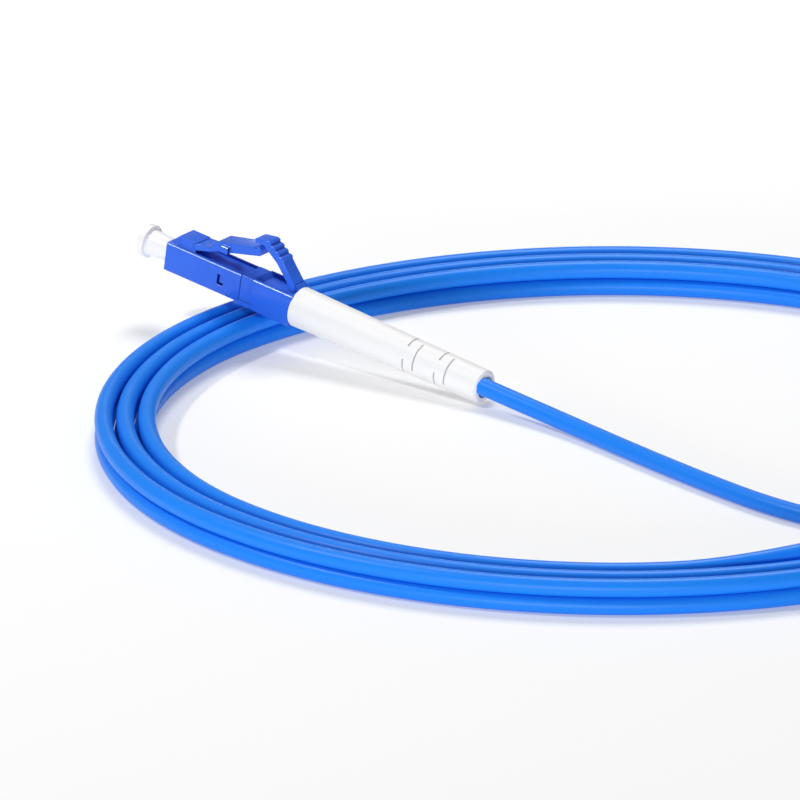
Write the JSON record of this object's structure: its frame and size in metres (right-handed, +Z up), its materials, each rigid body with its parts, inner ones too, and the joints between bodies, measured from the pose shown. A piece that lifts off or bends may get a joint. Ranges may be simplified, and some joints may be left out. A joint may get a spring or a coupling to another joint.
{
  "type": "armoured fibre patch cord",
  "caption": "Armoured optical fibre patch cord wound in a flat coil, with a latched small-form plug, slit strain relief and push-on dust cap at each end.",
  "frame": {"origin": "middle of the coil, on the surface that it lies on", "axes": "+Z up from that surface, +X along the coil's longer width, +Y away from the viewer of the picture"},
  "size_m": [0.148, 0.137, 0.0168],
  "materials": {
    "plug_plastic": "moulded blue plastic, smooth",
    "cable_jacket": "smooth azure cable jacket with a soft sheen",
    "boot_plastic": "soft white strain relief",
    "cap_plastic": "milky white push-on cap",
    "ferrule_ceramic": "polished white ceramic",
    "flange_metal": "turned metal",
    "spring_steel": "drawn spring wire",
    "crimp_metal": "plated crimp sleeve",
    "buffer_plastic": "tight-buffered fibre"
  },
  "bodies": {
    "cord": {"front_housing_a": "plug_plastic", "rear_body_a": "plug_plastic", "spring_a": "spring_steel", "crimp_sleeve_a": "crimp_metal", "fibre_buffer_a": "buffer_plastic", "boot_a": "boot_plastic", "front_housing_b": "plug_plastic", "rear_body_b": "plug_plastic", "spring_b": "spring_steel", "crimp_sleeve_b": "crimp_metal", "fibre_buffer_b": "buffer_plastic", "boot_b": "boot_plastic", "cable_coil": "cable_jacket", "cable_tail_a": "cable_jacket", "cable_tail_b": "cable_jacket"},
    "latch_a": {"latch_a": "plug_plastic"},
    "trigger_a": {"trigger_a": "plug_plastic"},
    "ferrule_a": {"ferrule_a": "ferrule_ceramic", "ferrule_flange_a": "flange_metal"},
    "dust_cap_a": {"dust_cap_a": "cap_plastic"},
    "latch_b": {"latch_b": "plug_plastic"},
    "trigger_b": {"trigger_b": "plug_plastic"},
    "ferrule_b": {"ferrule_b": "ferrule_ceramic", "ferrule_flange_b": "flange_metal"},
    "dust_cap_b": {"dust_cap_b": "cap_plastic"}
  },
  "joints": [
    {"name": "trigger_a_press", "type": "hinge", "parent": "cord", "child": "trigger_a", "pos_m": [-0.04555, 0.03578, 0.01081], "axis": [-0.599, -0.8007, 0], "range_deg": [0, 10], "stiffness_Nm_per_rad": 0.02},
    {"name": "latch_a_flex", "type": "hinge", "parent": "cord", "child": "latch_a", "pos_m": [-0.0591, 0.04591, 0.01332], "axis": [0.599, 0.8007, 0], "range_deg": [0, 6.5]},
    {"name": "ferrule_a_float", "type": "slide", "parent": "cord", "child": "ferrule_a", "axis": [0.7917, -0.5923, -0.1495], "range_m": [0, 0.0008], "stiffness_N_per_m": 2500, "springref_m": -0.002, "deforming": ["spring_a"]},
    {"name": "dust_cap_a_pull", "type": "slide", "parent": "cord", "child": "dust_cap_a", "axis": [-0.7917, 0.5923, 0.1495], "range_m": [0, 0.01]},
    {"name": "trigger_b_press", "type": "hinge", "parent": "cord", "child": "trigger_b", "pos_m": [0.06694, 0.02541, 0.0114], "axis": [-0.9994, 0.0349, 0], "range_deg": [0, 10], "stiffness_Nm_per_rad": 0.02},
    {"name": "latch_b_flex", "type": "hinge", "parent": "cord", "child": "latch_b", "pos_m": [0.06753, 0.0425, 0.01135], "axis": [0.9994, -0.0349, 0], "range_deg": [0, 6.5]},
    {"name": "ferrule_b_float", "type": "slide", "parent": "cord", "child": "ferrule_b", "axis": [-0.0349, -0.9994, 0], "range_m": [0, 0.0008], "stiffness_N_per_m": 2500, "springref_m": -0.002, "deforming": ["spring_b"]},
    {"name": "dust_cap_b_pull", "type": "slide", "parent": "cord", "child": "dust_cap_b", "axis": [0.0349, 0.9994, 0], "range_m": [0, 0.01]}
  ],
  "couplings": [
    {"joint": "latch_a_flex", "follows": "trigger_a_press", "ratio": 0.65},
    {"joint": "latch_b_flex", "follows": "trigger_b_press", "ratio": 0.65}
  ]
}
